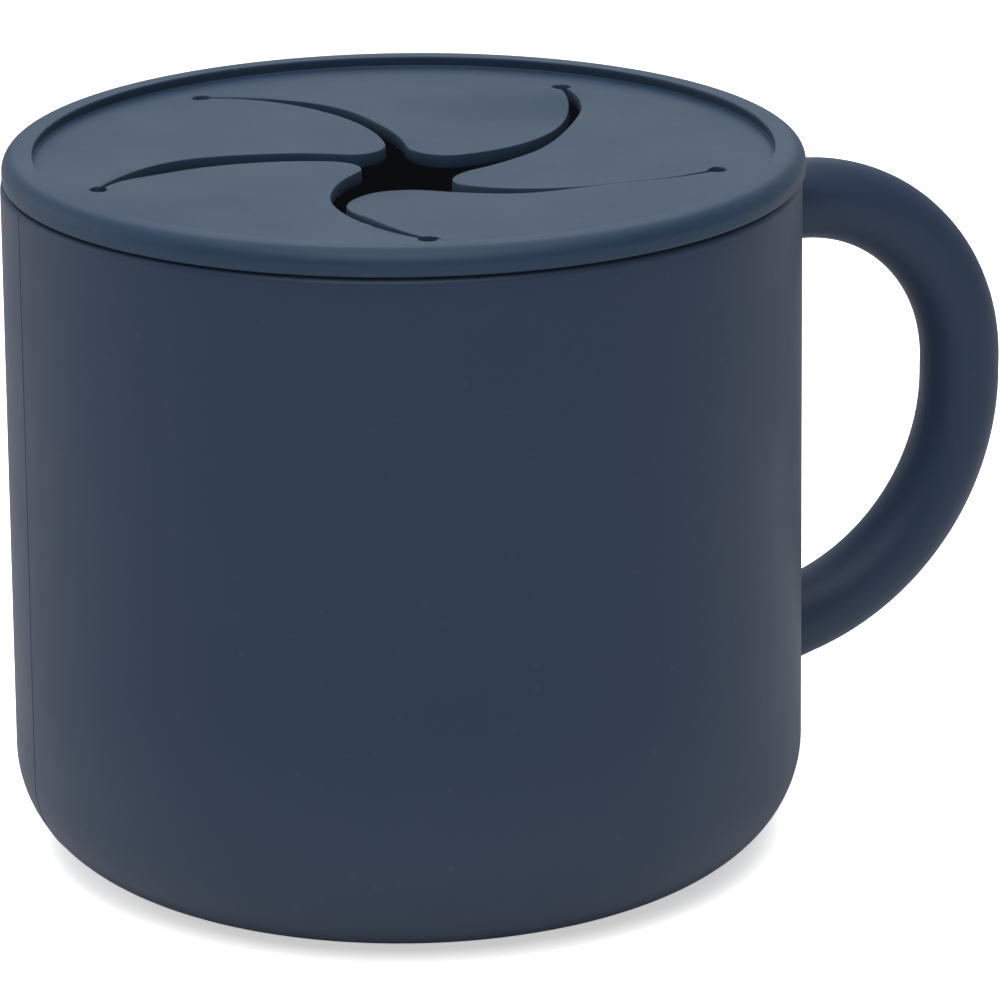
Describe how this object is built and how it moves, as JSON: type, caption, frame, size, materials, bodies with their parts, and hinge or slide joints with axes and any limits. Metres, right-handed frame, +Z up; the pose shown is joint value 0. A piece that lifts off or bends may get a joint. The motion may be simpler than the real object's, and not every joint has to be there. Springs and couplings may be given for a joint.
{
  "type": "snack cup",
  "caption": "Round soft-walled toddler snack cup with one loop handle and a push-in lid, cut by swirling slits into soft flaps that a small hand pushes through",
  "frame": {"origin": "centre of the cup's flat underside", "axes": "+Z up along the cup's axis, +X through the handle, +Y to its left"},
  "size_m": [0.1182, 0.089, 0.0806],
  "materials": {
    "cup_silicone": "satin moulded silicone, dark slate blue, with a fine dry bloom",
    "lid_silicone": "satin moulded silicone, slate blue"
  },
  "bodies": {
    "cup_body": {"cup": "cup_silicone", "handle": "cup_silicone"},
    "lid_body": {"lid": "lid_silicone"},
    "flap_1_body": {"flap_1": "lid_silicone"},
    "flap_2_body": {"flap_2": "lid_silicone"},
    "flap_3_body": {"flap_3": "lid_silicone"},
    "flap_4_body": {"flap_4": "lid_silicone"},
    "flap_5_body": {"flap_5": "lid_silicone"}
  },
  "joints": [
    {"name": "lid_lift", "type": "slide", "parent": "cup_body", "child": "lid_body", "axis": [0, 0, 1], "range_m": [0, 0.05]},
    {"name": "flap_1_bend", "type": "hinge", "parent": "lid_body", "child": "flap_1_body", "pos_m": [0.01162, 0.02539, 0.07865], "axis": [0.9723, -0.2337, 0], "range_deg": [-40, 70], "stiffness_Nm_per_rad": 0.002, "springref_deg": -2.86},
    {"name": "flap_2_bend", "type": "hinge", "parent": "lid_body", "child": "flap_2_body", "pos_m": [-0.02056, 0.01889, 0.07865], "axis": [0.5227, 0.8525, 0], "range_deg": [-40, 70], "stiffness_Nm_per_rad": 0.002, "springref_deg": -2.86},
    {"name": "flap_3_bend", "type": "hinge", "parent": "lid_body", "child": "flap_3_body", "pos_m": [-0.02432, -0.01371, 0.07865], "axis": [-0.6493, 0.7605, 0], "range_deg": [-40, 70], "stiffness_Nm_per_rad": 0.002, "springref_deg": -2.86},
    {"name": "flap_4_bend", "type": "hinge", "parent": "lid_body", "child": "flap_4_body", "pos_m": [0.00553, -0.02737, 0.07865], "axis": [-0.924, -0.3825, 0], "range_deg": [-40, 70], "stiffness_Nm_per_rad": 0.002, "springref_deg": -2.86},
    {"name": "flap_5_bend", "type": "hinge", "parent": "lid_body", "child": "flap_5_body", "pos_m": [0.02773, -0.0032, 0.07865], "axis": [0.0782, -0.9969, 0], "range_deg": [-40, 70], "stiffness_Nm_per_rad": 0.002, "springref_deg": -2.86}
  ]
}
